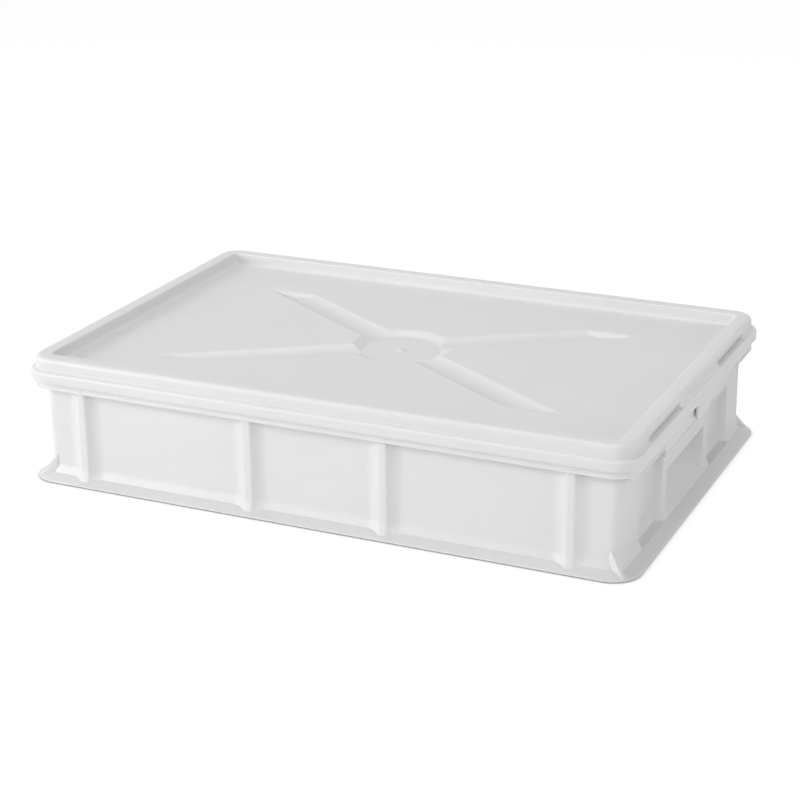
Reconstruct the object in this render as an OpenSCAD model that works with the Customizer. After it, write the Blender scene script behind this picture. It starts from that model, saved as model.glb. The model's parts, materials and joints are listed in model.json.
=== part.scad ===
// Dough proofing container: a ribbed stacking tray and its lift-off lid.
// Millimetres. X runs along the long side, Y across it and Z upwards.
// The origin is at the centre of the underside.

/* [Tray body] */
// Length over the two short walls
body_l = 569; // [540:1:700]
// Width over the two long walls
body_w = 369; // [340:1:480]
// Height to the top of the rim
tray_h = 107.5; // [95:0.5:140]
// Corner radius of the walls
wall_r = 11; // [9:1:16]
// Thickness of the walls
wall_t = 2.8; // [2:0.1:3.5]
// Thickness of the floor
floor_t = 4; // [2.5:0.5:5]

/* [Foot flange] */
// How far the flange stands out from the walls
flange_out = 15.5; // [13:0.5:18]
// Height of the flange's upright edge
flange_edge = 2; // [1.5:0.5:3]
// Height of the flange where it reaches the toe
flange_rise = 6; // [5:0.5:8]
// Width of the toe between flange and wall
toe_out = 3.5; // [2.5:0.5:5]
// Height of the toe on the wall
toe_top = 14; // [11:0.5:18]
// Thickness of the web at each corner
web_t = 2.6; // [2:0.2:4]
// Height of the corner web on the wall
web_top = 23; // [18:1:30]

/* [Long side ribs] */
// Distance between the two middle ribs
rib_mid = 134; // [110:2:160]
// Distance between the two outer ribs
rib_far = 482; // [440:2:500]
// How far a rib stands out
rib_out = 6.4; // [5:0.2:7]
// Width of a rib's flat face
rib_tip = 9; // [6:0.5:14]
// Width of a rib with its root fillets
rib_root = 33; // [24:1:40]

/* [Short sides] */
// Width of a bay between post and pad
bay_w = 64; // [50:1:74]
// Depth of a bay
bay_depth = 8.5; // [5:0.5:9]
// Slope of a bay's sides over its depth
bay_slope = 1.6; // [1:0.2:3]
// Width of the pad beside the grip recess
pad_w = 14; // [12:1:18]
// Width of the grip recess
grip_w = 114; // [100:2:124]
// Depth of the grip recess
grip_depth = 18; // [12:1:20]
// Height at which the recess turns from its ramp to its back wall
ramp_top = 28; // [22:1:32]
// Height of the recess's ceiling
grip_top = 50; // [44:1:58]

/* [Rim] */
// How far the rim stands out from the walls
rim_out = 10.8; // [9.5:0.1:12]
// Thickness of the rim plate and its apron
rim_t = 2.5; // [2:0.1:3]
// Depth of the apron on the long sides
apron_h = 15; // [12:0.5:18]
// Depth of the apron on the short sides
end_apron_h = 19; // [17:0.5:24]
// Depth of the grip apron in the middle of a short side
grip_apron_h = 27.5; // [25:0.5:36]
// Width of the grip apron
grip_apron_w = 206; // [160:2:240]
// How far the bead at the apron's edge stands out
bead_out = 0.7; // [0.4:0.1:1]
// Height of the bead
bead_h = 1.8; // [1.2:0.2:3]
// How far a rib's mark stands out on the apron
mark_out = 0.8; // [0.4:0.1:1.2]

/* [Lid] */
// Thickness of the lid's sheet
lid_t = 2.5; // [2:0.1:3]
// Clearance between the lid's skirt and the apron
lid_gap = 2.2; // [1.6:0.1:3]
// Depth of the skirt below the seat
skirt_h = 7.5; // [6:0.5:10]
// Width of the ledge outside the raised edge
ledge_w = 5.5; // [4.6:0.1:7]
// Radius along the outside of the ledge
ledge_r = 2.4; // [1.5:0.1:3]
// Radius where the ledge meets the raised edge
step_r = 2; // [1:0.1:2.8]
// Height of the raised edge above the panel
edge_h = 12; // [9:0.5:16]
// Width of the raised edge
edge_w = 15.5; // [13:0.5:17.5]
// Radius along the outside of the raised edge
edge_r = 4; // [2.5:0.5:4.5]
// Radius where the raised edge meets the panel
panel_r = 2.5; // [1:0.1:3]
// Distance between the far ends of the two grooves on a short side
groove_span = 294; // [270:2:320]
// Depth of the grooves
groove_depth = 3; // [1.5:0.5:3.5]
// Height of the grooves
groove_h = 3.5; // [2.5:0.5:5]
// Width of the smooth thumb rest between the grooves
thumb_w = 114; // [90:2:130]
// Height of the thumb rest
thumb_h = 6; // [4:0.5:7]
// Width of the pull tab
tab_w = 36; // [28:2:50]
// How far the pull tab hangs below the skirt
tab_drop = 15; // [10:1:18]

/* [Lid cross] */
// Width of the cross over the cut ends of its arms
cross_w = 224; // [190:1:240]
// Width of an arm
arm_w = 30; // [24:1:36]
// Depth of the arms below the panel
arm_depth = 4.5; // [3:0.5:6]
// Slope of the cut ends over their depth
arm_end = 5; // [2:0.5:8]
// Diameter of the round dish in the middle
dish_d = 100; // [80:2:120]
// Depth of the dish below the panel
dish_depth = 5; // [3.4:0.2:7]
// Width of the dish's sloping side
dish_slope = 8; // [5:1:12]
// Diameter of the gate mark in the dish
gate_d = 8; // [5:1:12]
// Height of the gate mark
gate_h = 0.8; // [0.4:0.1:1.2]

/* [Hidden] */
$fn = 64;
// How far cutting and joining shapes run past each other
lap = 1;
// Segments in an arc of a section
arc_steps = 6;

// Centre of the round corners, which every outline shares
corner_x = body_l / 2 - wall_r;
corner_y = body_w / 2 - wall_r;
flange_r = wall_r + flange_out;
toe_r = wall_r + toe_out;
rim_r = wall_r + rim_out;
lid_r = rim_r + lid_gap + lid_t;
edge_out_r = lid_r - ledge_w;
edge_in_r = edge_out_r - edge_w;

// Heights of the lid, which rests on the rim
seat_z = tray_h;
panel_z = seat_z + lid_t;
edge_z = panel_z + edge_h;
skirt_z = seat_z - skirt_h;

// Inner edge of a bay, measured from the middle of a short side
bay_y = grip_w / 2 + pad_w;
// The arms lie along the diagonals of the panel
arm_angle = atan((corner_y + edge_in_r) / (corner_x + edge_in_r));
arm_r = (arm_w * arm_w / 4 + arm_depth * arm_depth) / (2 * arm_depth);
arm_l = (cross_w + arm_w) / sin(arm_angle);

// Points of an arc, in degrees from and to
function arc(centre, r, from, to) = [
    for (i = [0 : arc_steps])
        let (a = from + (to - from) * i / arc_steps)
            [centre[0] + r * cos(a), centre[1] + r * sin(a)]
];

// One side of a rib's section, with an S-shaped fillet from its face into the wall
function rib_side(steps = 8) = [
    for (i = [0 : steps])
        let (t = i / steps)
            [rib_tip / 2 + (rib_root - rib_tip) / 2 * t, rib_out * (1 - t * t * (3 - 2 * t))]
];

// The same points on the other side, in reverse order
function mirrored(points) = [
    for (i = [len(points) - 1 : -1 : 0]) [-points[i][0], points[i][1]]
];

// Plan of the box with its round corners at radius r
module plan(r) {
    square([2 * (corner_x + r), 2 * corner_y], center = true);
    square([2 * corner_x, 2 * (corner_y + r)], center = true);
    for (x = [-corner_x, corner_x], y = [-corner_y, corner_y])
        translate([x, y])
            circle(r);
}

// Places children at each corner centre, turned so that +X points along the next side
module at_corners() {
    for (turn = [0 : 3])
        rotate([0, 0, 90 * turn])
            translate(turn % 2 == 0 ? [corner_x, corner_y] : [corner_y, corner_x])
                children();
}

// Carries a section round the plan: its X is the distance from the corner centres
module round_plan() {
    at_corners()
        rotate_extrude(angle = 90)
            children();
    along_ends(-corner_y, corner_y)
        children();
    along_sides(-corner_x, corner_x)
        children();
}

// Carries a section along the short sides, from y0 to y1
module along_ends(y0, y1) {
    for (turn = [0, 180])
        rotate([0, 0, turn])
            translate([corner_x, y1, 0])
                rotate([90, 0, 0])
                    linear_extrude(y1 - y0)
                        children();
}

// Carries a section along the long sides, from x0 to x1
module along_sides(x0, x1) {
    for (turn = [90, 270])
        rotate([0, 0, turn])
            translate([corner_y, x1, 0])
                rotate([90, 0, 0])
                    linear_extrude(x1 - x0)
                        children();
}

// Plan of the bays in the short sides, grown by the wall for the inside
module bay_plan(grow) {
    lean = bay_slope / bay_depth;
    side = grow * sqrt(1 + lean * lean);
    mouth = [body_l / 2 + lap, side + lean * lap];
    back = [body_l / 2 - bay_depth - grow, side - lean * (bay_depth + grow)];
    for (turn = [0, 180], centre = [-1, 1] * (bay_y + bay_w / 2))
        rotate(turn)
            polygon([
                [mouth[0], centre - bay_w / 2 - mouth[1]],
                [mouth[0], centre + bay_w / 2 + mouth[1]],
                [back[0], centre + bay_w / 2 + back[1]],
                [back[0], centre - bay_w / 2 - back[1]]
            ]);
}

// Hand recess in each short side: a ramp up from the flange, a back wall and a ceiling
module grip_recess(grow) {
    run = toe_out + grip_depth;
    rise = ramp_top - flange_rise;
    foot = flange_rise - grow * sqrt(run * run + rise * rise) / run;
    back = wall_r - grip_depth - grow;
    along_ends(-grip_w / 2 - grow, grip_w / 2 + grow)
        polygon([
            [toe_r + lap, foot],
            [toe_r, foot],
            [back, foot + (toe_r - back) * rise / run],
            [back, grip_top + grow],
            [toe_r + lap, grip_top + grow]
        ]);
}

module tray_outside() {
    linear_extrude(tray_h)
        difference() {
            plan(wall_r);
            bay_plan(0);
        }
}

module tray_inside() {
    difference() {
        translate([0, 0, floor_t])
            linear_extrude(tray_h)
                difference() {
                    plan(wall_r - wall_t);
                    bay_plan(wall_t);
                }
        grip_recess(wall_t);
    }
}

// Sloping flange that the box stands on, with a steep toe up to the wall
module foot_section() {
    polygon([
        [wall_r - lap, 0],
        [flange_r, 0],
        [flange_r, flange_edge],
        [toe_r, flange_rise],
        [wall_r, toe_top],
        [wall_r - lap, toe_top]
    ]);
}

// The flange under a bay, where wall and toe stand further in
module bay_foot_section() {
    face = wall_r - bay_depth;
    polygon([
        [face - lap, 0],
        [flange_r, 0],
        [flange_r, flange_edge],
        [toe_r, flange_rise],
        [face + toe_out, flange_rise],
        [face, toe_top],
        [face - lap, toe_top]
    ]);
}

// Thin web in each corner, from the wall down to the flange
module corner_webs() {
    at_corners()
        rotate([0, 0, 45])
            rotate([90, 0, 0])
                linear_extrude(web_t, center = true)
                    polygon([
                        [wall_r - lap, flange_edge / 2],
                        [flange_r - lap, flange_edge / 2],
                        [wall_r, web_top],
                        [wall_r - lap, web_top]
                    ]);
}

module foot() {
    at_corners()
        rotate_extrude(angle = 90)
            foot_section();
    along_sides(-corner_x, corner_x)
        foot_section();
    for (post = [bay_y + bay_w, -corner_y])
        along_ends(post, post + corner_y - bay_y - bay_w)
            foot_section();
    along_ends(-bay_y, bay_y)
        foot_section();
    for (bay = [bay_y, -bay_y - bay_w])
        along_ends(bay, bay + bay_w)
            bay_foot_section();
    corner_webs();
}

// One rib, standing out along +Y from a long wall, with its toe and its head under the rim
module rib() {
    translate([0, 0, flange_edge])
        linear_extrude(tray_h - rim_t / 2 - flange_edge)
            polygon(concat(
                [[-rib_root / 2, -lap]],
                mirrored(rib_side()),
                rib_side(),
                [[rib_root / 2, -lap]]
            ));
    rotate([90, 0, 90])
        linear_extrude(rib_tip, center = true)
            polygon([
                [rib_out - lap, flange_edge],
                [rib_out + toe_out + lap, flange_edge],
                [rib_out, toe_top],
                [rib_out - lap, toe_top]
            ]);
    translate([-rib_tip / 2, 0, tray_h - apron_h])
        cube([rib_tip, rim_out + mark_out, apron_h - rim_t / 2]);
}

module ribs() {
    for (turn = [0, 180], x = [rib_mid / 2, rib_far / 2], side = [-1, 1])
        rotate([0, 0, turn])
            translate([side * x, body_w / 2, 0])
                rib();
}

// Rim plate from the wall's inside at distance inner, and an apron that hangs by depth from it
module rim_section(inner, depth) {
    low = tray_h - depth;
    polygon([
        [inner, tray_h - rim_t],
        [rim_r - rim_t, tray_h - rim_t],
        [rim_r - rim_t, low],
        [rim_r + bead_out, low],
        [rim_r + bead_out, low + bead_h],
        [rim_r, low + bead_h],
        [rim_r, tray_h],
        [inner, tray_h]
    ]);
}

module rim() {
    wall = wall_r - lap;
    bay = wall - bay_depth;
    at_corners()
        rotate_extrude(angle = 90)
            rim_section(wall, apron_h);
    along_sides(-corner_x, corner_x)
        rim_section(wall, apron_h);
    for (end = [-corner_y, grip_apron_w / 2])
        along_ends(end, end + corner_y - grip_apron_w / 2)
            rim_section(bay, end_apron_h);
    along_ends(-grip_apron_w / 2, grip_apron_w / 2)
        rim_section(bay, grip_apron_h);
}

module tray() {
    color("whitesmoke")
        difference() {
            union() {
                tray_outside();
                foot();
                ribs();
                rim();
            }
            tray_inside();
            grip_recess(0);
        }
}

// Section of the lid's raised edge, its ledge and its skirt, in a sheet of even thickness
module lid_edge_section() {
    polygon(concat(
        [[edge_in_r - panel_r, seat_z]],
        arc([edge_in_r - panel_r, panel_z + panel_r], panel_r, 270, 360),
        [[edge_in_r, edge_z]],
        arc([edge_out_r - edge_r, edge_z - edge_r], edge_r, 90, 0),
        arc([edge_out_r + step_r, panel_z + step_r], step_r, 180, 270),
        arc([lid_r - ledge_r, panel_z - ledge_r], ledge_r, 90, 0),
        [
            [lid_r, skirt_z],
            [lid_r - lid_t, skirt_z],
            [lid_r - lid_t, seat_z],
            [edge_out_r - lid_t, seat_z],
            [edge_out_r - lid_t, edge_z - lid_t],
            [edge_in_r + lid_t, edge_z - lid_t],
            [edge_in_r + lid_t, seat_z]
        ]
    ));
}

// Shallow grooves and the thumb rest between them, where a short side is gripped
module grooves() {
    for (inner = [thumb_w / 2, -groove_span / 2])
        along_ends(inner, inner + (groove_span - thumb_w) / 2)
            polygon([
                [edge_out_r - groove_depth, panel_z],
                [edge_out_r - groove_depth, panel_z + groove_h],
                [edge_out_r + step_r, panel_z + groove_h + groove_depth + step_r],
                [edge_out_r + step_r, panel_z]
            ]);
}

// Sheet behind the grooves
module groove_backs() {
    along_ends(-groove_span / 2 - lid_t, groove_span / 2 + lid_t)
        polygon([
            [edge_out_r - groove_depth - lid_t, seat_z],
            [edge_out_r - groove_depth - lid_t, panel_z + groove_h + lid_t / 2],
            [edge_out_r - lid_t, panel_z + groove_h + groove_depth + lid_t / 2],
            [edge_out_r - lid_t + lap, panel_z + groove_h + groove_depth],
            [edge_out_r - lid_t + lap, seat_z]
        ]);
}

module thumb_rests() {
    along_ends(-thumb_w / 2, thumb_w / 2)
        polygon([
            [edge_out_r - lap, panel_z - lap],
            [edge_out_r - lap, panel_z + thumb_h],
            [edge_out_r, panel_z + thumb_h],
            [lid_r - ledge_r, panel_z],
            [lid_r - ledge_r, panel_z - lap]
        ]);
}

module pull_tabs() {
    along_ends(-tab_w / 2, tab_w / 2)
        translate([lid_r - lid_t, skirt_z - tab_drop])
            square([lid_t, tab_drop + lap]);
}

// The cross: round-bottomed arms with sloping cut ends, and a dish where they meet
module cross(grow, above) {
    end_y = cross_w / 2;
    low = panel_z - arm_depth - grow - lap;
    lean = arm_end / arm_depth;
    intersection() {
        for (a = [arm_angle, -arm_angle])
            rotate([0, 0, a])
                translate([0, 0, panel_z - arm_depth + arm_r])
                    rotate([0, 90, 0])
                        cylinder(h = arm_l, r = arm_r + grow, center = true);
        rotate([90, 0, 90])
            linear_extrude(body_l, center = true)
                polygon([
                    [-end_y - grow - lean * above, panel_z + above],
                    [end_y + grow + lean * above, panel_z + above],
                    [end_y + grow + lean * (low - panel_z), low],
                    [-end_y - grow - lean * (low - panel_z), low]
                ]);
    }
    translate([0, 0, panel_z - dish_depth - grow])
        cylinder(
            h = dish_depth + grow + above,
            r1 = dish_d / 2 - dish_slope + grow,
            r2 = dish_d / 2 + grow + (grow + above) * dish_slope / dish_depth
        );
}

module lid() {
    color("white")
        difference() {
            union() {
                round_plan()
                    lid_edge_section();
                translate([0, 0, seat_z])
                    linear_extrude(lid_t)
                        plan(edge_in_r - panel_r + lap);
                groove_backs();
                thumb_rests();
                pull_tabs();
                cross(lid_t, 0);
            }
            grooves();
            cross(0, lap);
        }
    color("white")
        translate([0, 0, panel_z - dish_depth - lap])
            cylinder(h = lap + gate_h, d = gate_d);
}

tray();
lid();
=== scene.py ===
"""Dresses the dough proofing box: a ribbed stacking tray and its lift-off lid.

Both pieces are single mouldings in satin, slightly translucent white plastic. Each one is a section
carried round the same rounded rectangle, as a mould maker would draw it. The section changes where a
rib, a bay, a hand recess, a groove or a tab comes along. Sizes are in millimetres until a mesh is made.
"""
import json
import logging
import math
from dataclasses import dataclass, field
from enum import Enum

import bmesh
import bpy
import numpy as np
from bpy.types import NodeSocket, NodeTree, Object
from mathutils import Matrix, Vector
from mathutils.geometry import delaunay_2d_cdt

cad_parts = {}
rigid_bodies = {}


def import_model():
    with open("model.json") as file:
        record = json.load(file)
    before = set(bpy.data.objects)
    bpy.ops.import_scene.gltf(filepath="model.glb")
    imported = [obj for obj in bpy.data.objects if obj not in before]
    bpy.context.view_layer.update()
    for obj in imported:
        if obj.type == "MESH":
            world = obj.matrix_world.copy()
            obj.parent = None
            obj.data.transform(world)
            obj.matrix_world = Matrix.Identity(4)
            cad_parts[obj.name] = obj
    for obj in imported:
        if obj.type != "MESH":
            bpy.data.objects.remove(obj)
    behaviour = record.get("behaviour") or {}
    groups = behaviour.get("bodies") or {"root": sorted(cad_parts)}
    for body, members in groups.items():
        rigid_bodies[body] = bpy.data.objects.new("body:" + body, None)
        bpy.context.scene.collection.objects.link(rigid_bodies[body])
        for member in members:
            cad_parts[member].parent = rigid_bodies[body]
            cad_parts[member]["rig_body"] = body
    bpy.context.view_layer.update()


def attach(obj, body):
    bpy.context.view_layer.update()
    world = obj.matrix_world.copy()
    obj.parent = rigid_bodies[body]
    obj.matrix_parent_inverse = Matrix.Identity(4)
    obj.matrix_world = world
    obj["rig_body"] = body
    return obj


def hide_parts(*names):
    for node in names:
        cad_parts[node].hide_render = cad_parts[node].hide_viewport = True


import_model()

MM = 0.001
CRISP_ANGLE = math.radians(38.0)
MERGE_REACH = 2e-6
SLIVER = 1e-6
LEAST_STEP = 0.2
HAIR = 0.02
LOG = logging.getLogger("dough_box")
Row = tuple[float, ...]
Place = tuple[float, float, float]
Pairs = tuple[tuple[float, float], ...]


class Part(Enum):
    """The two mouldings, by the name of their body and node."""

    TRAY = "tray"
    LID = "lid"


class Side(Enum):
    """Which part of the outline a column of the sweep belongs to."""

    CORNER = 0
    END = 1
    LONG = 2


def smooth_step(low: float, high: float, x: np.ndarray) -> np.ndarray:
    """Rises smoothly from 0 to 1.

    Args:
        low: Where the step starts.
        high: Where the step ends.
        x: Places to evaluate.

    Returns:
        The step's height at each place.
    """
    t = np.clip((np.asarray(x, float) - low) / (high - low), 0.0, 1.0)
    return t * t * (3.0 - 2.0 * t)


def arc_points(centre: tuple[float, float], radius: float, start: float, end: float,
               steps: int) -> list[tuple[float, float]]:
    """Lists the points of an arc in a section.

    Args:
        centre: Centre of the arc.
        radius: Its radius.
        start: First angle in degrees.
        end: Last angle in degrees.
        steps: How many segments it has.

    Returns:
        The points from start to end.
    """
    angles = np.radians(np.linspace(start, end, steps + 1))
    return [(centre[0] + radius * math.cos(a), centre[1] + radius * math.sin(a)) for a in angles]


def mix(weight: np.ndarray, low: np.ndarray | float, high: np.ndarray | float) -> np.ndarray:
    """Goes from low at weight 0 to high at weight 1."""
    return (1.0 - weight) * low + weight * high


def new_object(name: str, data: bpy.types.ID) -> Object:
    """Puts a new object into the scene.

    Args:
        name: Name of the object.
        data: Its mesh, camera or lamp.

    Returns:
        The object, at the origin.
    """
    made = bpy.data.objects.new(name, data)
    bpy.context.scene.collection.objects.link(made)
    return made


@dataclass(frozen=True)
class BoxPlan:
    """Plan of the box and the heights that both mouldings share."""

    body_l: float = 569.0
    body_w: float = 369.0
    wall_r: float = 11.0
    wall_t: float = 2.8
    flange_out: float = 15.5
    rim_out: float = 10.8
    rim_t: float = 2.5
    seat_z: float = 107.5
    corner_steps: int = 14
    coarse: float = 12.0

    @property
    def corner_x(self) -> float:
        """Distance of the corner centres from the middle along X."""
        return self.body_l / 2 - self.wall_r

    @property
    def corner_y(self) -> float:
        """Distance of the corner centres from the middle along Y."""
        return self.body_w / 2 - self.wall_r

    @property
    def rim_r(self) -> float:
        """Radius of the rim at the corners."""
        return self.wall_r + self.rim_out


class Outline:
    """Columns of a sweep round the box: where each stands and which way it faces."""

    def __init__(self, plan: BoxPlan, ends: np.ndarray, longs: np.ndarray) -> None:
        """Places the columns.

        Args:
            plan: Plan of the box.
            ends: Y of the columns along a short side, rising.
            longs: X of the columns along a long side, rising.
        """
        cores: list[tuple[float, float]] = []
        normals: list[tuple[float, float]] = []
        sides: list[int] = []
        along: list[float] = []
        half_x, half_y = plan.corner_x, plan.corner_y
        runs = (
            (Side.END, [(half_x, y) for y in ends], (1.0, 0.0), ends),
            (Side.LONG, [(-x, half_y) for x in longs], (0.0, 1.0), -longs),
            (Side.END, [(-half_x, -y) for y in ends], (-1.0, 0.0), -ends),
            (Side.LONG, [(x, -half_y) for x in longs], (0.0, -1.0), longs),
        )
        corners = ((half_x, half_y), (-half_x, half_y), (-half_x, -half_y), (half_x, -half_y))
        for turn, ((side, places, normal, local), corner) in enumerate(zip(runs, corners)):
            cores.extend(places)
            normals.extend([normal] * len(places))
            sides.extend([side.value] * len(places))
            along.extend(float(v) for v in local)
            for k in range(1, plan.corner_steps):
                angle = math.radians(90.0 * (turn + k / plan.corner_steps))
                cores.append(corner)
                normals.append((math.cos(angle), math.sin(angle)))
                sides.append(Side.CORNER.value)
                along.append(0.0)
        self.core = np.array(cores)
        self.normal = np.array(normals)
        self.side = np.array(sides)
        self.along = np.abs(np.array(along))
        self.count = len(cores)

    def on_ends(self, weights: np.ndarray) -> np.ndarray:
        """Keeps weights on the short sides and clears them elsewhere."""
        return np.where(self.side == Side.END.value, weights, 0.0)

    def on_longs(self, weights: np.ndarray) -> np.ndarray:
        """Keeps weights on the long sides and clears them elsewhere."""
        return np.where(self.side == Side.LONG.value, weights, 0.0)

    def ring(self, radius: np.ndarray | float, height: np.ndarray | float) -> np.ndarray:
        """Places one row of the sweep.

        Args:
            radius: Distance from the corner centres, one value or one per column.
            height: Height, one value or one per column.

        Returns:
            One point per column, in millimetres.
        """
        r, z = (np.broadcast_to(v, (self.count,))[:, None] for v in (radius, height))
        return np.hstack([self.core + r * self.normal, z])


def stations(half: float, coarse: float, fine: list[Place]) -> np.ndarray:
    """Chooses places along one side of the box, mirrored about its middle.

    Args:
        half: Half the side's straight length.
        coarse: Spacing where nothing happens.
        fine: Stretches as centre, half width and spacing, on the positive half.

    Returns:
        Rising places from -half to half.
    """
    places: list[float] = []
    for centre, reach, step in fine:
        count = max(1, round(2 * reach / step))
        places.extend(np.linspace(centre - reach, centre + reach, count + 1))
    filled = [x for x in np.linspace(0.0, half, math.ceil(half / coarse) + 1)
              if all(abs(x - c) > w + coarse / 3 for c, w, _ in fine) or x in (0.0, half)]
    chosen = sorted({round(float(x), 3) for x in places + filled if 0.0 <= x <= half})
    kept = [chosen[0]]
    for x in chosen[1:]:
        if x - kept[-1] > LEAST_STEP:
            kept.append(x)
    kept[-1] = half
    return np.array([-x for x in reversed(kept) if x > 0.0] + kept)


class MouldMesh:
    """Collects rows of points and faces and turns them into one closed mesh."""

    def __init__(self, columns: int) -> None:
        """Starts an empty mesh.

        Args:
            columns: Number of columns in each row.
        """
        self.columns = columns
        self.points: list[np.ndarray] = []
        self.faces: list[tuple[int, ...]] = []
        self.total = 0

    def add_points(self, points: np.ndarray) -> int:
        """Adds points.

        Args:
            points: The points to add, in millimetres.

        Returns:
            The index of the first of them.
        """
        first = self.total
        self.points.append(points)
        self.total += len(points)
        return first

    def sweep(self, rows: list[np.ndarray]) -> tuple[int, int]:
        """Joins rows of points into bands of quads.

        Args:
            rows: One array of points per row.

        Returns:
            The first index of the first row and of the last row.
        """
        starts = [self.add_points(row) for row in rows]
        n = self.columns
        for low, high in zip(starts, starts[1:]):
            for j in range(n):
                k = (j + 1) % n
                self.faces.append((low + j, low + k, high + k, high + j))
        return starts[0], starts[-1]

    def fill(self, start: int) -> None:
        """Closes a row that lies in a plane with one face."""
        self.faces.append(tuple(range(start, start + self.columns)))

    def build(self, name: str) -> Object:
        """Makes the object, with its place in its mesh and its faces outwards.

        Args:
            name: Name of the piece.

        Returns:
            The new object at the origin.
        """
        mesh = bpy.data.meshes.new(name)
        points = np.vstack(self.points) * MM
        mesh.from_pydata([tuple(p) for p in points], [], self.faces)
        mesh.validate()
        bm = bmesh.new()
        bm.from_mesh(mesh)
        bmesh.ops.remove_doubles(bm, verts=bm.verts, dist=MERGE_REACH)
        bmesh.ops.dissolve_degenerate(bm, edges=bm.edges, dist=SLIVER)
        bmesh.ops.recalc_face_normals(bm, faces=bm.faces)
        open_edges = sum(1 for edge in bm.edges if len(edge.link_faces) != 2)
        for face in bm.faces:
            face.smooth = True
        bm.to_mesh(mesh)
        bm.free()
        mesh.set_sharp_from_angle(angle=CRISP_ANGLE)
        LOG.info("%s: %d faces, %d open edges", name, len(mesh.polygons), open_edges)
        return new_object(name, mesh)


@dataclass(frozen=True)
class PlasticFinish:
    """Satin white moulded plastic, a little translucent."""

    name: str
    colour: Place
    roughness: float
    translucency: float
    cloud_scale: float = 9.0
    cloud_detail: float = 3.0
    cloud_depth: float = 0.012
    cloud_span: tuple[float, float] = (0.3, 0.7)
    flow_scale: float = 26.0
    flow_detail: float = 5.0
    gloss_spread: tuple[float, float] = (-0.05, 0.06)
    ripple_scale: float = 38.0
    ripple_height: float = 0.00025
    grain_scale: float = 1400.0
    grain_height: float = 0.00003
    surface_detail: float = 2.0
    ior: float = 1.5
    glow_radius: Place = (1.0, 0.95, 0.9)
    glow_scale: float = 0.004

    def material(self) -> bpy.types.Material:
        """Builds the node material.

        Returns:
            The material, which reads Object coordinates.
        """
        mat = bpy.data.materials.new(self.name)
        mat.use_nodes = True
        tree = mat.node_tree
        shader = tree.nodes["Principled BSDF"]
        place = tree.nodes.new("ShaderNodeTexCoord").outputs["Object"]
        cloud = self.noise(tree, place, self.cloud_scale, self.cloud_detail)
        tint = tree.nodes.new("ShaderNodeValToRGB")
        for k, shade in enumerate((1.0 - self.cloud_depth, 1.0 + self.cloud_depth)):
            stop = tint.color_ramp.elements[k]
            stop.position = self.cloud_span[k]
            stop.color = (*(min(1.0, c * shade) for c in self.colour), 1.0)
        tree.links.new(cloud, tint.inputs["Fac"])
        tree.links.new(tint.outputs["Color"], shader.inputs["Base Color"])
        flow = self.noise(tree, place, self.flow_scale, self.flow_detail)
        gloss = tree.nodes.new("ShaderNodeMapRange")
        for socket, change in zip(("To Min", "To Max"), self.gloss_spread):
            gloss.inputs[socket].default_value = self.roughness + change
        tree.links.new(flow, gloss.inputs["Value"])
        tree.links.new(gloss.outputs["Result"], shader.inputs["Roughness"])
        ripple = self.noise(tree, place, self.ripple_scale, self.surface_detail)
        ripple = self.bump(tree, ripple, self.ripple_height, None)
        grain = self.noise(tree, place, self.grain_scale, self.surface_detail)
        grain = self.bump(tree, grain, self.grain_height, ripple)
        tree.links.new(grain, shader.inputs["Normal"])
        shader.inputs["IOR"].default_value = self.ior
        shader.inputs["Subsurface Weight"].default_value = self.translucency
        shader.inputs["Subsurface Radius"].default_value = self.glow_radius
        shader.inputs["Subsurface Scale"].default_value = self.glow_scale
        return mat

    @staticmethod
    def noise(tree: NodeTree, place: NodeSocket, scale: float, detail: float) -> NodeSocket:
        """Adds a noise texture.

        Args:
            tree: The material's node tree.
            place: Coordinates to read.
            scale: Scale of the noise, per metre.
            detail: Its octaves.

        Returns:
            The noise's factor socket.
        """
        texture = tree.nodes.new("ShaderNodeTexNoise")
        texture.inputs["Scale"].default_value = scale
        texture.inputs["Detail"].default_value = detail
        tree.links.new(place, texture.inputs["Vector"])
        return texture.outputs["Fac"]

    @staticmethod
    def bump(tree: NodeTree, height: NodeSocket, distance: float,
             below: NodeSocket | None) -> NodeSocket:
        """Adds a bump over an earlier one.

        Args:
            tree: The material's node tree.
            height: Height to bump by.
            distance: Height of the bump in metres.
            below: Normal of the earlier bump.

        Returns:
            The bumped normal.
        """
        node = tree.nodes.new("ShaderNodeBump")
        node.inputs["Strength"].default_value = 1.0
        node.inputs["Distance"].default_value = distance
        tree.links.new(height, node.inputs["Height"])
        if below is not None:
            tree.links.new(below, node.inputs["Normal"])
        return node.outputs["Normal"]


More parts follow.
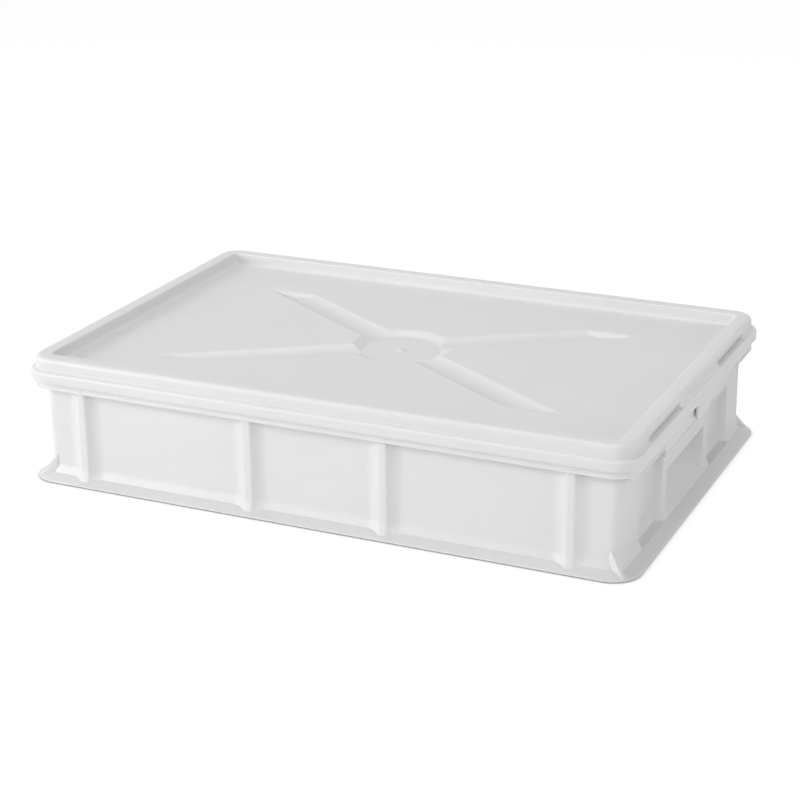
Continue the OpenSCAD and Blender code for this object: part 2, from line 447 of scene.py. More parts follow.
@dataclass
class Tray:
    """The stacking tray: foot flange, ribbed walls, hand recesses and rim."""

    plan: BoxPlan
    finish: PlasticFinish
    floor_t: float = 4.0
    floor_r: float = 4.0
    floor_margin: float = 6.0
    floor_turns: Row = (0.0, 15.0, 30.0, 45.0, 60.0, 75.0, 90.0)
    flange_edge: float = 2.0
    flange_rise: float = 6.0
    flange_under: Pairs = ((-3.0, 0.0), (-1.3, 0.0), (-1.1, 0.05), (-0.05, 0.85), (0.0, 1.0))
    flange_nose: Pairs = ((0.0, -0.55), (-0.16, -0.16), (-0.7, 0.12))
    toe_out: float = 3.5
    toe_top: float = 14.0
    toe_hollow: float = 0.45
    rib_places: Row = (67.0, 241.0)
    rib_out: float = 6.4
    rib_full: float = 1.04
    crest_half: float = 3.2
    flank_run: float = 16.0
    flank_hollow: float = 2.2
    bay_from: float = 71.0
    bay_to: float = 135.0
    bay_depth: float = 8.5
    bay_ease: float = 0.8
    bay_run: float = 3.2
    grip_half: float = 57.0
    grip_depth: float = 18.0
    grip_ease: tuple[float, float] = (-2.6, 0.6)
    grip_top: float = 50.0
    ramp_top: float = 28.0
    ramp_soft: float = 2.0
    ramp_heights: Row = (16.0, 19.0, 22.0, 24.5, 26.5, 28.0, 29.5, 31.5, 35.0, 40.0, 45.0, 48.0)
    inner_ramp_heights: Row = (45.0, 38.0, 33.0, 30.0, 28.0, 26.0, 24.0, 20.0, 15.0, 10.0)
    wall_heights: Row = (56.0, 66.0, 76.0, 86.0, 94.0, 100.0)
    inner_heights: Row = (100.0, 88.0, 76.0, 66.0, 58.0)
    apron_h: float = 15.0
    end_apron_h: float = 19.0
    grip_apron_h: float = 27.5
    grip_apron_half: float = 103.0
    apron_ease: float = 1.2
    apron_turn: float = 0.75
    bead_out: float = 0.7
    bead_h: float = 1.8
    mark_out: float = 0.8
    mark_w: float = 9.0
    web_t: float = 2.6
    web_foot: float = 1.0
    web_nose: float = 2.0
    web_top: float = 23.0
    web_sink: float = 2.0
    web_curve: float = 1.08
    web_flare: float = 1.1
    web_reach: float = 17.0
    web_angle: float = 26.0
    web_bevel: float = 0.3
    fillet: float = 0.5
    outline: Outline = field(init=False)

    def __post_init__(self) -> None:
        """Places the columns where the walls change."""
        ends = stations(self.plan.corner_y, self.plan.coarse, [
            (self.grip_half + 0.5, 5.0, 0.7), (self.bay_from, 5.5, 0.7), (self.bay_to, 5.5, 0.7),
            (self.grip_apron_half, 2.4, 0.6)])
        longs = stations(self.plan.corner_x, self.plan.coarse,
                         [(x, self.crest_half + self.flank_run, 1.1) for x in self.rib_places])
        self.outline = Outline(self.plan, ends, longs)

    @property
    def toe_r(self) -> float:
        """Distance of the wall's foot from the corner centres."""
        return self.plan.wall_r + self.toe_out

    @property
    def flange_r(self) -> float:
        """Radius of the foot flange at the corners."""
        return self.plan.wall_r + self.plan.flange_out

    def rib_offset(self) -> np.ndarray:
        """Measures how far each column stands from the middle of the nearest rib."""
        return np.min([np.abs(self.outline.along - x) for x in self.rib_places], axis=0)

    def rib_weight(self) -> np.ndarray:
        """Gives how far each column stands on a rib.

        Returns:
            Weights from 0 to 1.
        """
        share = np.clip((self.rib_offset() - self.crest_half) / self.flank_run, 0.0, 1.0)
        weight = self.rib_full * (1.0 - share) ** self.flank_hollow
        return self.outline.on_longs(np.minimum(weight, 1.0))

    def bay_weight(self, grow: float) -> np.ndarray:
        """Gives how far each column stands in a bay.

        Args:
            grow: How much wider the bay is than on the outside, for the inside of the wall.

        Returns:
            Weights from 0 to 1.
        """
        first = self.bay_from - self.bay_ease - grow
        last = self.bay_to + self.bay_ease + grow
        rise = smooth_step(first, first + self.bay_run, self.outline.along)
        drop = smooth_step(last - self.bay_run, last, self.outline.along)
        return self.outline.on_ends(rise * (1.0 - drop))

    def grip_weight(self, grow: float) -> np.ndarray:
        """Gives how far each column stands in the hand recess.

        Args:
            grow: How much wider the recess is than on the outside.

        Returns:
            Weights from 0 to 1.
        """
        full, none = (self.grip_half + grow + ease for ease in self.grip_ease)
        return self.outline.on_ends(1.0 - smooth_step(full, none, self.outline.along))

    def apron_depth(self) -> np.ndarray:
        """Gives how deep the apron hangs.

        Returns:
            Depth below the top of the rim at each column.
        """
        half, ease = self.grip_apron_half, self.apron_ease
        end = self.outline.on_ends(np.ones(self.outline.count))
        deep = self.outline.on_ends(1.0 - smooth_step(half - ease, half + ease, self.outline.along))
        turn = smooth_step(self.apron_turn, 1.0, np.abs(self.outline.normal[:, 0]))
        corner = np.where(self.outline.side == Side.CORNER.value, turn, 0.0)
        return (self.apron_h + (self.end_apron_h - self.apron_h) * np.maximum(end, corner)
                + (self.grip_apron_h - self.end_apron_h) * deep)

    def ramp(self, height: np.ndarray | float) -> np.ndarray | float:
        """Follows the hand recess's ramp and the back wall above it.

        Args:
            height: Height above the table.

        Returns:
            Distance from the corner centres at that height.
        """
        back = self.plan.wall_r - self.grip_depth
        slope = (self.toe_r - back) / (self.ramp_top - self.flange_rise)
        line = self.toe_r - (np.asarray(height, float) - self.flange_rise) * slope - back
        return back + 0.5 * (line + np.sqrt(line ** 2 + self.ramp_soft ** 2)) - HAIR

    def flange_top(self, radius: np.ndarray) -> np.ndarray:
        """Follows the foot flange's sloping top.

        Args:
            radius: Distance from the corner centres.

        Returns:
            Height of the top at that distance.
        """
        out, up = self.flange_nose[-1]
        start, low = self.flange_r + out, self.flange_edge + up
        share = (start - radius) / (start - self.toe_r)
        return low + (self.flange_rise - low) * np.clip(share, 0.0, 1.0)

    def outside(self) -> list[np.ndarray]:
        """Draws the section from the underside out over the flange and up the wall to the rim.

        Returns:
            The rows in that order.
        """
        ring, plan, edge = self.outline.ring, self.plan, self.flange_edge
        bay, grip = self.bay_weight(0.0), self.grip_weight(0.0)
        wall = plan.wall_r + self.rib_out * self.rib_weight() - self.bay_depth * bay
        rows = [ring(plan.wall_r - self.floor_margin, 0.0)]
        rows += [ring(self.flange_r + out, height) for out, height in self.flange_under]
        rows += [ring(self.flange_r + out, edge + up) for out, up in self.flange_nose]
        foot = wall + self.toe_out
        nose = self.flange_r + self.flange_nose[-1][0]
        knee = np.maximum(foot, self.toe_r)
        for share in (0.08, 0.5, 0.93, 1.0):
            radius = nose + (knee - nose) * share
            rows.append(ring(radius, self.flange_top(radius)))
        for share in (0.1, 0.5, 0.9, 1.0):
            radius = knee + (foot - knee) * share
            rows.append(ring(radius, self.flange_top(radius) + HAIR * share))
        start = self.flange_top(foot)
        for share in (0.12, 0.3, 0.5, 0.7, 0.85, 1.0):
            height = start + (self.toe_top - start) * share
            curve = mix(self.toe_hollow, 1.0 - share, (1.0 - share) ** 2)
            rows.append(ring(mix(grip, wall + self.toe_out * curve, self.ramp(height)), height))
        rows += [ring(mix(grip, wall, self.ramp(height)), height) for height in self.ramp_heights]
        back, face = plan.wall_r - self.grip_depth, plan.wall_r
        ceiling = ((back + 0.1, -0.5), (back + 0.5, -0.1), (back + 1.2, 0.0), (face - 1.3, 0.0),
                   (face - 0.4, 0.12), (face - 0.08, 0.5), (face, 1.3))
        rows += [ring(mix(grip, wall, radius), self.grip_top + rise) for radius, rise in ceiling]
        rows += [ring(wall, height) for height in self.wall_heights]
        under = plan.seat_z - plan.rim_t
        inside = plan.rim_r - plan.rim_t
        rows += [ring(np.minimum(wall, inside - 1.2), under - 1.6),
                 ring(np.minimum(wall + 0.5, inside - 0.9), under - 0.5),
                 ring(np.minimum(wall + 1.6, inside - 0.6), under), ring(inside - 0.4, under - 0.05),
                 ring(inside, under - 0.5)]
        return rows

    def rim(self) -> list[np.ndarray]:
        """Draws the section down the apron's inside, round its bead and up to the top of the rim.

        Returns:
            The rows in that order.
        """
        ring, plan = self.outline.ring, self.plan
        top = plan.seat_z
        inside, outside = plan.rim_r - plan.rim_t, plan.rim_r
        low = top - self.apron_depth()
        bead = outside + self.bead_out
        half = self.mark_w / 2
        mark = 1.0 - smooth_step(half - 1.0, half + 2.5, self.rib_offset())
        mark = self.outline.on_longs(mark) * self.mark_out
        fine = self.fillet
        up = low + self.bead_h
        return [ring(inside, low + (top - 3.5 - low) * 0.5), ring(inside, low + fine),
                ring(inside + 0.15, low + 0.15), ring(inside + fine, low), ring(bead - fine, low),
                ring(bead - 0.12, low + 0.12), ring(bead, low + fine), ring(bead, up - fine),
                ring(bead - 0.15, up - 0.1), ring(outside + 0.12, up + 0.12),
                ring(outside + mark * 0.3, up + 0.5), ring(outside + mark, up + 1.4),
                ring(outside + mark, up + 3.0), ring(outside + mark, top - 3.0),
                ring(outside + mark * 0.4, top - 1.6), ring(outside, top - 0.8),
                ring(outside - 0.22, top - 0.22), ring(outside - 0.8, top)]

    def inside(self) -> list[np.ndarray]:
        """Draws the section over the rim, down the inside of the wall and onto the floor.

        Returns:
            The rows in that order.
        """
        ring, plan = self.outline.ring, self.plan
        thick = plan.wall_t
        bay, grip = self.bay_weight(thick), self.grip_weight(thick)
        wall = plan.wall_r - thick - self.bay_depth * bay
        back = plan.wall_r - self.grip_depth - thick
        face = plan.wall_r - thick
        top, shelf = plan.seat_z, self.grip_top + thick
        rows = [ring(wall + 0.8, top), ring(wall + 0.22, top - 0.22), ring(wall, top - 0.8)]
        rows += [ring(wall, height) for height in self.inner_heights]
        steps = ((face, 1.4), (face - 0.1, 0.5), (face - 0.5, 0.1), (face - 1.4, 0.0),
                 (back + 1.6, 0.0), (back + 0.5, -0.14), (back + 0.12, -0.5), (back, -1.6))
        rows += [ring(mix(grip, wall, radius), shelf + rise) for radius, rise in steps]
        run = self.toe_out + self.grip_depth
        rise = self.ramp_top - self.flange_rise
        offset = thick * math.hypot(run, rise) / rise
        for height in self.inner_ramp_heights:
            ramp = np.maximum(self.ramp(height) - offset, back)
            rows.append(ring(mix(grip, wall, ramp), height))
        foot = self.floor_t + self.floor_r
        base = mix(grip, wall, self.ramp(foot) - offset)
        for angle in self.floor_turns:
            turn = math.radians(angle)
            radius = base - self.floor_r * (1.0 - math.cos(turn))
            rows.append(ring(radius, foot - self.floor_r * math.sin(turn)))
        rows.append(ring(base - self.floor_r - 0.8, self.floor_t))
        return rows

    def shell(self) -> Object:
        """Builds the moulding and closes its floor.

        Returns:
            The tray's one solid piece.
        """
        mesh = MouldMesh(self.outline.count)
        first, last = mesh.sweep(self.outside() + self.rim() + self.inside())
        mesh.fill(first)
        mesh.fill(last)
        return mesh.build("tray_shell")

    def web_blank(self) -> Object:
        """Builds one corner web, which thickens towards its foot.

        Returns:
            The web, which reaches back along -X from its outer end at the origin.
        """
        root, top, nose = self.web_reach, self.web_top, self.web_nose
        profile = [(-root - self.web_sink, self.web_foot), (0.0, self.web_foot), (0.0, nose)]
        profile += [(-root * t, nose + (top - nose) * t ** self.web_curve) for t in (0.2, 0.4, 0.6, 0.8)]
        profile += [(-root, top), (-root - self.web_sink, top)]
        bm = bmesh.new()
        sides = []
        for way in (-1.0, 1.0):
            half = [way * (self.web_t / 2 + self.web_flare * (1.0 - z / self.web_top)) for _, z in profile]
            sides.append([bm.verts.new((x * MM, y * MM, z * MM)) for (x, z), y in zip(profile, half)])
        bm.faces.new(sides[0])
        bm.faces.new(list(reversed(sides[1])))
        for a, b in zip(range(len(profile)), [*range(1, len(profile)), 0]):
            bm.faces.new((sides[0][b], sides[0][a], sides[1][a], sides[1][b]))
        bmesh.ops.recalc_face_normals(bm, faces=bm.faces)
        edges = [e for e in bm.edges if e.calc_face_angle(0.0) > 0.5]
        bmesh.ops.bevel(bm, geom=edges, offset=self.web_bevel * MM, segments=2, profile=0.5,
                        affect="EDGES")
        mesh = bpy.data.meshes.new("web_blank")
        bm.to_mesh(mesh)
        bm.free()
        return new_object("web_blank", mesh)

    def corner_stations(self) -> Object:
        """Marks the flange's four corners and the way that each web turns.

        Returns:
            A mesh of four points, with the turn as an attribute.
        """
        mesh = bpy.data.meshes.new("web_stations")
        out = (self.flange_r - 1.0) * math.sqrt(0.5)
        x, y = (self.plan.corner_x + out) * MM, (self.plan.corner_y + out) * MM
        mesh.from_pydata([(x, y, 0.0), (-x, y, 0.0), (-x, -y, 0.0), (x, -y, 0.0)], [], [])
        turns = mesh.attributes.new("turn", "FLOAT", "POINT")
        angle = self.web_angle
        for k, turn in enumerate((angle, 180.0 - angle, 180.0 + angle, -angle)):
            turns.data[k].value = math.radians(turn)
        return new_object("web_stations", mesh)

    def build(self) -> list[Object]:
        """Builds and dresses the tray.

        Returns:
            The moulding and its four corner webs.
        """
        material = self.finish.material()
        shell = self.shell()
        shell.data.materials.append(material)
        webs = RepeatTree("corner_webs").apply(self.corner_stations(), self.web_blank(), material)
        for piece in (shell, webs):
            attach(piece, Part.TRAY.value)
        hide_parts("tray")
        return [shell, webs]


@dataclass
class RepeatTree:
    """Geometry Nodes that set one blank at each station, turned about Z."""

    name: str

    def tree(self) -> bpy.types.GeometryNodeTree:
        """Builds the node group.

        Returns:
            The group, whose inputs are the blank and its finish.
        """
        group = bpy.data.node_groups.new(self.name, "GeometryNodeTree")
        sockets = (("Geometry", "INPUT", "Geometry"), ("Blank", "INPUT", "Object"),
                   ("Finish", "INPUT", "Material"), ("Geometry", "OUTPUT", "Geometry"))
        for name, way, kind in sockets:
            group.interface.new_socket(name, in_out=way, socket_type="NodeSocket" + kind)
        kinds = {"source": "NodeGroupInput", "blank": "GeometryNodeObjectInfo",
                 "turn": "GeometryNodeInputNamedAttribute", "about": "ShaderNodeCombineXYZ",
                 "place": "GeometryNodeInstanceOnPoints", "real": "GeometryNodeRealizeInstances",
                 "paint": "GeometryNodeSetMaterial", "out": "NodeGroupOutput"}
        nodes = {name: group.nodes.new(kind) for name, kind in kinds.items()}
        nodes["turn"].data_type = "FLOAT"
        nodes["turn"].inputs["Name"].default_value = "turn"
        wires = (("source", "Blank", "blank", "Object"), ("source", "Geometry", "place", "Points"),
                 ("blank", "Geometry", "place", "Instance"), ("turn", "Attribute", "about", "Z"),
                 ("about", "Vector", "place", "Rotation"), ("place", "Instances", "real", "Geometry"),
                 ("real", "Geometry", "paint", "Geometry"), ("source", "Finish", "paint", "Material"),
                 ("paint", "Geometry", "out", "Geometry"))
        for giver, output, taker, entry in wires:
            group.links.new(nodes[giver].outputs[output], nodes[taker].inputs[entry])
        return group

    def apply(self, marks: Object, blank: Object, material: bpy.types.Material) -> Object:
        """Runs the tree and keeps its result as a plain mesh.

        Args:
            marks: Mesh whose points are the stations.
            blank: The shape to repeat.
            material: The finish of the result.

        Returns:
            One object that holds every copy.
        """
        modifier = marks.modifiers.new(self.name, "NODES")
        modifier.node_group = self.tree()
        sockets = {s.name: s.identifier for s in modifier.node_group.interface.items_tree
                   if s.in_out == "INPUT"}
        modifier[sockets["Blank"]] = blank
        modifier[sockets["Finish"]] = material
        graph = bpy.context.evaluated_depsgraph_get()
        result = bpy.data.meshes.new_from_object(marks.evaluated_get(graph))
        result.name = self.name
        marks.modifiers.remove(modifier)
        for spare in (marks, blank):
            bpy.data.objects.remove(spare)
        for polygon in result.polygons:
            polygon.use_smooth = True
        result.set_sharp_from_angle(angle=CRISP_ANGLE)
        return new_object(self.name, result)


@dataclass
class Lid:
    """The lift-off lid: raised edge, ledge and skirt round a panel with a sunken cross."""

    plan: BoxPlan
    finish: PlasticFinish
    lid_t: float = 2.5
    lid_gap: float = 2.2
    skirt_h: float = 7.5
    ledge_w: float = 5.5
    ledge_r: float = 2.4
    step_r: float = 2.0
    edge_h: float = 12.0
    edge_w: float = 15.5
    edge_r: float = 4.0
    panel_r: float = 4.0
    groove_half: float = 147.0
    groove_depth: float = 3.0
    thumb_half: float = 57.0
    tab_half: float = 18.0
    tab_drop: float = 15.0
    tab_r: float = 4.0
    cross_w: float = 224.0
    arm_w: float = 30.0
    arm_depth: float = 4.5
    arm_end: float = 5.0
    dish_r: float = 50.0
    dish_depth: float = 5.0
    dish_slope: float = 13.6
    arm_soft: float = 0.6
    dish_soft: float = 0.35
    gate_r: float = 4.0
    gate_h: float = 0.8
    pip_h: float = 0.5
    lanes: Row = (3.0, 6.0, 8.5, 11.0)
    lip_lanes: Row = (-2.2, -0.9, -0.25, 0.25, 0.9, 2.5)
    end_lanes: Row = (7.4, 6.6, 5.8, 5.0, 4.0, 3.0, 2.0, 1.2, 0.6, 0.2, -0.2, -0.8, -2.4)
    inner_rings: Row = (0.5, 0.9, 1.3, 1.8, 2.6, 3.3, 3.6, 3.9, 4.2, 4.6, 6.5, 10.0, 15.0,
                        20.0, 25.0, 29.0, 33.0)
    panel_pitch: float = 13.0
    panel_clear: float = 4.5
    outline: Outline = field(init=False)

    def __post_init__(self) -> None:
        """Places the columns where the short sides change."""
        ends = stations(self.plan.corner_y, 10.0, [
            (self.thumb_half, 3.5, 0.7), (self.groove_half, 3.5, 0.7),
            (self.tab_half - self.tab_r / 2, self.tab_r / 2 + 0.8, 0.4)])
        longs = stations(self.plan.corner_x, self.plan.coarse, [])
        self.outline = Outline(self.plan, ends, longs)

    @property
    def skirt_r(self) -> float:
        """Radius of the skirt at the corners."""
        return self.plan.rim_r + self.lid_gap + self.lid_t

    @property
    def edge_out(self) -> float:
        """Radius of the raised edge's outer face at the corners."""
        return self.skirt_r - self.ledge_w

    @property
    def edge_in(self) -> float:
        """Radius of the raised edge's inner face at the corners."""
        return self.edge_out - self.edge_w

    @property
    def panel_z(self) -> float:
        """Height of the panel's upper face."""
        return self.plan.seat_z + self.lid_t

    @property
    def panel_edge(self) -> float:
        """Radius at which the flat panel ends."""
        return self.edge_in - self.panel_r - 0.4

    def blended_step(self) -> list[np.ndarray]:
        """Draws the step from raised edge to ledge: a fillet, a groove or the thumb rest.

        Returns:
            The rows from the raised edge down.
        """
        y = self.outline.along
        past_thumb = smooth_step(self.thumb_half - 1.2, self.thumb_half + 1.2, y)
        past_groove = smooth_step(self.groove_half - 1.2, self.groove_half + 1.2, y)
        groove = self.outline.on_ends(past_thumb * (1.0 - past_groove))
        thumb = self.outline.on_ends(1.0 - past_thumb)
        plain = [(0.0, 6.0), (0.0, 5.0), (0.0, 4.0), (0.0, 3.0)]
        plain += arc_points((self.step_r, self.step_r), self.step_r, 180, 270, 6)
        deep = self.groove_depth
        cut = [(0.0, 6.9), (0.0, 6.3), (-0.9, 5.4), (-deep + 0.4, 4.1), (-deep + 0.05, 3.4), (-deep, 2.4),
               (-deep, 1.0), (-deep + 0.3, 0.3), (-deep + 1.0, 0.0), (-deep + 2.4, 0.0), (self.step_r, 0.0)]
        rest = [(0.0, 6.6), (0.05, 6.1), (0.25, 5.5), (0.6, 4.8), (1.0, 4.0), (1.45, 3.1), (1.9, 2.25),
                (2.3, 1.5), (2.6, 0.9), (2.85, 0.45), (3.08, 0.04)]
        rows = []
        for (px, pz), (gx, gz), (tx, tz) in zip(plain, cut, rest):
            radius = px + groove * (gx - px) + thumb * (tx - px)
            height = pz + groove * (gz - pz) + thumb * (tz - pz)
            rows.append(self.outline.ring(self.edge_out + radius, self.panel_z + height))
        return rows

    def tab_shape(self) -> np.ndarray:
        """Gives how far the skirt hangs down for the pull tab.

        Returns:
            Length below the skirt's plain edge at each column.
        """
        y = self.outline.along
        r, half = self.tab_r, self.tab_half
        inner = half - r
        bend = r - np.sqrt(np.clip(r * r - np.clip(y - inner, 0.0, r) ** 2, 0.0, None))
        flank = smooth_step(half, half + 0.5, y)
        return self.outline.on_ends((self.tab_drop - bend) * (1.0 - flank))

    def rows(self) -> list[np.ndarray]:
        """Draws the section from the panel over the edge, down the skirt and back underneath.

        Returns:
            The rows in that order.
        """
        ring = self.outline.ring
        panel, seat, thick = self.panel_z, self.plan.seat_z, self.lid_t
        top = panel + self.edge_h
        inner, outer, skirt = self.edge_in, self.edge_out, self.skirt_r
        section = arc_points((inner - self.panel_r, panel + self.panel_r), self.panel_r, 270, 360, 8)
        section += [(inner, top - 2.2)]
        section += arc_points((inner + 1.1, top - 1.1), 1.1, 180, 90, 5)
        section += [(outer - self.edge_r - 2.0, top)]
        section += arc_points((outer - self.edge_r, top - self.edge_r), self.edge_r, 90, 0, 9)
        rows = [ring(self.panel_edge, panel)] + [ring(r, z) for r, z in section]
        rows += self.blended_step()
        ledge = arc_points((skirt - self.ledge_r, panel - self.ledge_r), self.ledge_r, 90, 0, 8)
        rows += [ring(r, z) for r, z in ledge]
        low = seat - self.skirt_h - self.tab_shape()
        rows += [ring(skirt, (seat - 1.0 + low) / 2), ring(skirt, low + 0.7),
                 ring(skirt - 0.2, low + 0.2), ring(skirt - 0.7, low), ring(skirt - thick + 0.6, low),
                 ring(skirt - thick + 0.15, low + 0.15), ring(skirt - thick, low + 0.6)]
        skirt_in, outer_in, inner_in, roof = skirt - thick, outer - thick, inner + thick, top - thick
        under = [(skirt_in, seat - 1.0), (skirt_in - 0.2, seat - 0.15), (skirt_in - 1.0, seat),
                 (outer_in + 0.6, seat), (outer_in, seat + 0.6), (outer_in, roof - 1.2),
                 (outer_in - 1.2, roof), (inner_in + 1.2, roof), (inner_in, roof - 1.2),
                 (inner_in, seat + 0.6), (inner_in - 0.6, seat), (inner, seat), (self.panel_edge, seat)]
        rows += [ring(r, z) for r, z in under]
        return rows

    def depth(self, x: np.ndarray, y: np.ndarray) -> np.ndarray:
        """Gives how deep the cross lies below the panel.

        Args:
            x: X of each point.
            y: Y of each point.

        Returns:
            Depth at each point, in millimetres.
        """
        angle = self.arm_angle
        radius = (self.arm_w ** 2 / 4 + self.arm_depth ** 2) / (2 * self.arm_depth)
        arms = np.zeros_like(x)
        for sign in (1.0, -1.0):
            across = np.abs(-x * math.sin(sign * angle) + y * math.cos(sign * angle))
            valley = np.sqrt(np.clip(radius ** 2 - across ** 2, 0.0, None)) - (radius - self.arm_depth)
            arms = np.maximum(arms, valley)
        end = (self.cross_w / 2 - np.abs(y)) * self.arm_depth / self.arm_end
        arms = self.soft_min(arms, end, self.arm_soft)
        rho = np.hypot(x, y)
        dish = self.dish_depth * smooth_step(self.dish_r, self.dish_r - self.dish_slope, rho)
        depth = np.clip(-self.soft_min(-arms, -dish, self.dish_soft), 0.0, None)
        gate = self.gate_h * (1.0 - smooth_step(self.gate_r - 0.5, self.gate_r + 0.3, rho))
        pip = self.pip_h * (1.0 - smooth_step(0.7, 1.5, rho))
        return depth - gate + pip

    @staticmethod
    def soft_min(a: np.ndarray, b: np.ndarray, soft: float) -> np.ndarray:
        """Takes the smaller of two surfaces with a small fillet where they meet."""
        h = np.clip(0.5 + 0.5 * (b - a) / soft, 0.0, 1.0)
        return b * (1.0 - h) + a * h - soft * h * (1.0 - h) * 0.5

    @property
    def arm_angle(self) -> float:
        """Angle of the arms from X, along the panel's diagonals."""
        return math.atan2(self.plan.corner_y + self.edge_in, self.plan.corner_x + self.edge_in)

    def arm_grid(self) -> tuple[np.ndarray, list[tuple[int, int]]]:
        """Lays lines along and across every arm, so that the lips follow the mesh.

        Returns:
            Points in the plane, and the edges between neighbours along each line.
        """
        right = [*self.lanes, *(self.arm_w / 2 + lip for lip in self.lip_lanes)]
        across = [-v for v in reversed(right)] + [0.0] + right
        end = self.cross_w / 2
        heights = [*np.arange(18.0, end - 8.0, 3.2), *(end - np.array(self.end_lanes))]
        points: list[tuple[float, float]] = []
        edges: list[tuple[int, int]] = []
        clear = self.dish_r + self.panel_clear
        for sx, sy in ((1.0, 1.0), (1.0, -1.0), (-1.0, 1.0), (-1.0, -1.0)):
            for v in across:
                last = -1
                for y in heights:
                    u = (y - v * math.cos(self.arm_angle)) / math.sin(self.arm_angle)
                    x = u * math.cos(self.arm_angle) - v * math.sin(self.arm_angle)
                    if math.hypot(x, y) < clear or x < 0.0:
                        last = -1
                        continue
                    points.append((sx * x, sy * y))
                    if last >= 0:
                        edges.append((last, len(points) - 1))
                    last = len(points) - 1
        return np.array(points), edges

    def dish_grid(self) -> np.ndarray:
        """Lays rings over the dish and its gate mark.

        Returns:
            Points in the plane.
        """
        r = self.dish_r
        radii = [*self.inner_rings, *np.arange(r - 14.5, r + 2.6, 1.0), r + 3.6]
        points = [(0.0, 0.0)]
        for k, radius in enumerate(radii):
            count = int(np.clip(round(2 * math.pi * radius / 1.6), 12, 190))
            for j in range(count):
                angle = 2 * math.pi * (j + 0.5 * (k % 2)) / count
                points.append((radius * math.cos(angle), radius * math.sin(angle)))
        return np.array(points)

    def panel(self) -> tuple[np.ndarray, list[tuple[int, ...]]]:
        """Meshes the panel inside the flat row that the sweep starts with.

        Returns:
            Points in the plane, and the triangles between them.
        """
        border = self.outline.ring(self.panel_edge, 0.0)[:, :2]
        n = len(border)
        arms, arm_edges = self.arm_grid()
        dish = self.dish_grid()
        detail = np.vstack([arms, dish])
        half_x, half_y = self.plan.corner_x, self.plan.corner_y
        xs = np.arange(-half_x + 6.0, half_x, self.panel_pitch)
        ys = np.arange(-half_y + 6.0, half_y, self.panel_pitch)
        plain = np.array([(x, y) for x in xs for y in ys
                          if np.min(np.hypot(detail[:, 0] - x, detail[:, 1] - y)) > self.panel_clear])
        points = np.vstack([border, arms, dish, plain])
        edges = [(j, (j + 1) % n) for j in range(n)]
        edges += [(a + n, b + n) for a, b in arm_edges]
        flat, _, faces, *_ = delaunay_2d_cdt([Vector(p) for p in points], edges, [], 0, 1e-5)
        return np.array([tuple(p) for p in flat]), [tuple(f) for f in faces]

    def shell(self) -> Object:
        """Builds the moulding from its swept edge and the two faces of its panel.

        Returns:
            The lid's one solid piece.
        """
        mesh = MouldMesh(self.outline.count)
        mesh.sweep(self.rows())
        flat, faces = self.panel()
        depth = self.depth(flat[:, 0], flat[:, 1])
        inside = self.outline.ring(self.panel_edge, 0.0)[:, :2]
        edge_x, edge_y = np.abs(inside).max(axis=0) - 1e-3
        border = (np.abs(flat[:, 0]) >= edge_x) | (np.abs(flat[:, 1]) >= edge_y)
        depth = np.where(border, 0.0, depth)
        for level in (self.panel_z, self.plan.seat_z):
            heights = level - depth
            start = mesh.add_points(np.column_stack([flat, heights]))
            mesh.faces.extend(tuple(start + i for i in f) for f in faces)
        return mesh.build("lid_shell")

    def build(self) -> list[Object]:
        """Builds and dresses the lid.

        Returns:
            The moulding, as the list's only piece.
        """
        shell = self.shell()
        shell.data.materials.append(self.finish.material())
        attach(shell, Part.LID.value)
        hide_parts("lid")
        return [shell]


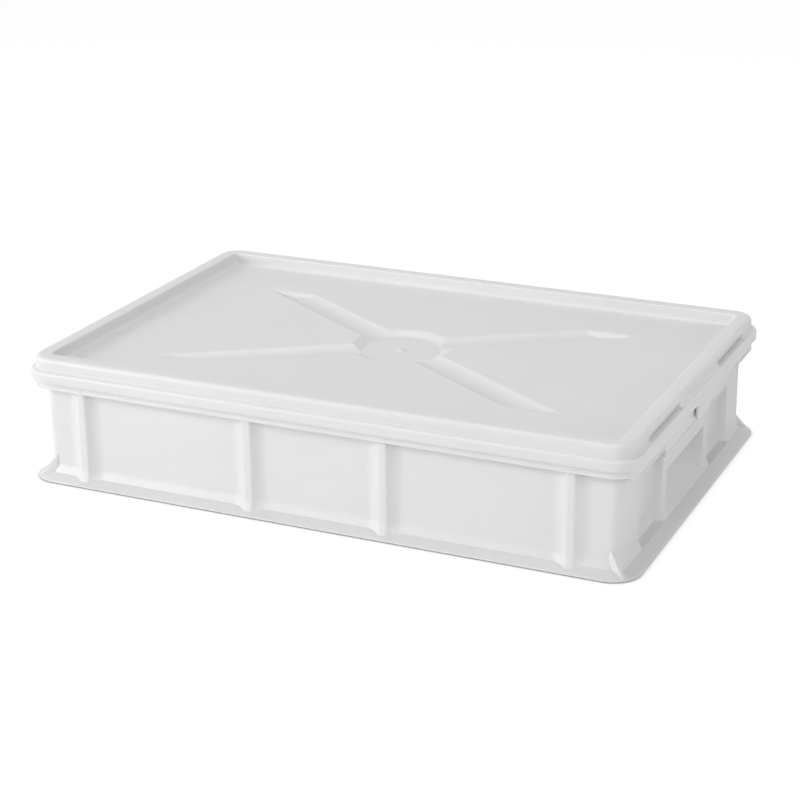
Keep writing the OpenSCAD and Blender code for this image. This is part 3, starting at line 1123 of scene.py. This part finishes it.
@dataclass
class Studio:
    """Pale floor, white surroundings, soft lamps and the camera at the photo's angle."""

    focal_px: float = 2000.0
    image_px: float = 800.0
    sensor: float = 36.0
    pitch: float = 0.3595
    roll: float = 0.0106
    azimuth: float = 0.4288
    place: Place = (0.7513, -1.6481, 0.7350)
    floor_white: float = 0.88
    floor_shadow: float = 0.22
    white_seen: float = 1.16
    # Reach and samples of the painted contact shadow on the floor's white.
    contact_shade_reach: float = 0.007
    contact_shade_samples: int = 8
    world_light: float = 0.22
    floor_reach: float = 6.0
    floor_level: float = -0.0002
    floor_roughness: float = 0.9
    far_clip: float = 20.0
    aim: Place = (0.0, 0.0, 0.06)

    def camera(self) -> None:
        """Sets the camera at the photo's viewing angle, with no shift."""
        az, pitch, roll = self.azimuth, self.pitch, self.roll
        ahead = Vector((-math.sin(az) * math.cos(pitch), math.cos(az) * math.cos(pitch), -math.sin(pitch)))
        right = Vector((math.cos(az), math.sin(az), 0.0))
        down = ahead.cross(right)
        turned = right * math.cos(roll) + down * math.sin(roll)
        dropped = -right * math.sin(roll) + down * math.cos(roll)
        data = bpy.data.cameras.new("camera")
        data.sensor_width = self.sensor
        data.lens = self.focal_px / self.image_px * self.sensor
        data.clip_end = self.far_clip
        camera = new_object("camera", data)
        axes = Matrix((turned, -dropped, -ahead)).transposed()
        camera.matrix_world = Matrix.Translation(self.place) @ axes.to_4x4()
        bpy.context.scene.camera = camera

    def lamp(self, name: str, place: Place, size: float, power: float) -> None:
        """Adds a square area lamp that faces the box.

        Args:
            name: Name of the lamp.
            place: Where it stands, in metres.
            size: Length of its side.
            power: Its power in watts.
        """
        data = bpy.data.lights.new(name, "AREA")
        data.size = size
        data.energy = power
        lamp = new_object(name, data)
        lamp.location = place
        lamp.rotation_euler = (Vector(self.aim) - Vector(place)).to_track_quat("-Z", "Y").to_euler()

    def lamps(self) -> None:
        """Lights the box softly, most from the front left and from above."""
        for name, place, size, power in (
                ("key_lamp", (-2.0, -1.9, 0.9), 1.4, 42.0), ("front_lamp", (0.9, -2.4, 1.7), 1.4, 14.0),
                ("fill_lamp", (2.6, -0.6, 0.9), 1.2, 15.0), ("top_lamp", (-0.4, 0.3, 2.4), 1.8, 19.0)):
            self.lamp(name, place, size, power)

    def white_where_seen(self, tree: NodeTree, lit: NodeSocket, share: float,
                         out: NodeSocket, emitter: str) -> bpy.types.Node:
        """Shows plain white to the camera and to reflections, and leaves the light as it is.

        Args:
            tree: Node tree of the floor or the world.
            lit: Shader seen by diffuse light.
            share: How much of the plain white is used.
            out: Surface socket of the output.
            emitter: Node type of the plain white.

        Returns:
            The node that gives the plain white.
        """
        nodes, links = tree.nodes, tree.links
        path = nodes.new("ShaderNodeLightPath")
        seen = path.outputs["Is Camera Ray"]
        for ray in ("Is Glossy Ray", "Is Transmission Ray"):
            either = nodes.new("ShaderNodeMath")
            either.operation = "MAXIMUM"
            links.new(seen, either.inputs[0])
            links.new(path.outputs[ray], either.inputs[1])
            seen = either.outputs[0]
        part = nodes.new("ShaderNodeMath")
        part.operation = "MULTIPLY"
        part.inputs[1].default_value = share
        links.new(seen, part.inputs[0])
        white = nodes.new(emitter)
        white.inputs["Color"].default_value = (1.0, 1.0, 1.0, 1.0)
        white.inputs["Strength"].default_value = self.white_seen
        blend = nodes.new("ShaderNodeMixShader")
        links.new(part.outputs[0], blend.inputs["Fac"])
        links.new(lit, blend.inputs[1])
        links.new(white.outputs[0], blend.inputs[2])
        links.new(blend.outputs[0], out)
        return white

    def floor(self) -> None:
        """Lays the floor just under the box, with painted contact shade darkening its white where the box
        stands on it.
        """
        mesh = bpy.data.meshes.new("floor")
        reach, level = self.floor_reach, self.floor_level
        mesh.from_pydata([(-reach, -reach, level), (reach, -reach, level), (reach, reach, level),
                          (-reach, reach, level)], [], [(0, 1, 2, 3)])
        floor = new_object("floor", mesh)
        mat = bpy.data.materials.new("floor_white")
        mat.use_nodes = True
        nodes = mat.node_tree.nodes
        shader = nodes["Principled BSDF"]
        shader.inputs["Base Color"].default_value = (self.floor_white,) * 3 + (1.0,)
        shader.inputs["Roughness"].default_value = self.floor_roughness
        out = nodes["Material Output"].inputs["Surface"]
        white = self.white_where_seen(mat.node_tree, shader.outputs[0], 1.0 - self.floor_shadow, out,
                                      "ShaderNodeEmission")
        # Painted contact shadow: ambient occlusion darkens the white that the camera sees near the box's
        # foot.
        painted_contact_shade = nodes.new("ShaderNodeAmbientOcclusion")
        painted_contact_shade.samples = self.contact_shade_samples
        painted_contact_shade.inputs["Distance"].default_value = self.contact_shade_reach
        mat.node_tree.links.new(painted_contact_shade.outputs["Color"], white.inputs["Color"])
        mesh.materials.append(mat)

    def world(self) -> None:
        """Surrounds the box with even soft light that the camera sees as white."""
        world = bpy.data.worlds.new("surroundings")
        bpy.context.scene.world = world
        world.use_nodes = True
        nodes = world.node_tree.nodes
        sky = nodes["Background"]
        sky.inputs["Color"].default_value = (1.0, 1.0, 1.0, 1.0)
        sky.inputs["Strength"].default_value = self.world_light
        out = nodes["World Output"].inputs["Surface"]
        self.white_where_seen(world.node_tree, sky.outputs[0], 1.0, out, "ShaderNodeBackground")

    def build(self) -> None:
        """Sets up everything round the box."""
        bpy.context.scene.view_settings.view_transform = "Standard"
        self.camera()
        self.lamps()
        self.floor()
        self.world()


def main() -> None:
    """Builds the box and its studio."""
    logging.basicConfig(level=logging.INFO, format="%(name)s: %(message)s")
    plan = BoxPlan()
    tray_plastic = PlasticFinish("tray_plastic", (0.80, 0.80, 0.80), 0.42, 0.35)
    lid_plastic = PlasticFinish("lid_plastic", (0.80, 0.80, 0.80), 0.38, 0.35)
    Studio().build()
    for piece in Tray(plan, tray_plastic).build() + Lid(plan, lid_plastic).build():
        LOG.info("%s rides on %s", piece.name, piece["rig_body"])


if __name__ == "__main__":
    main()
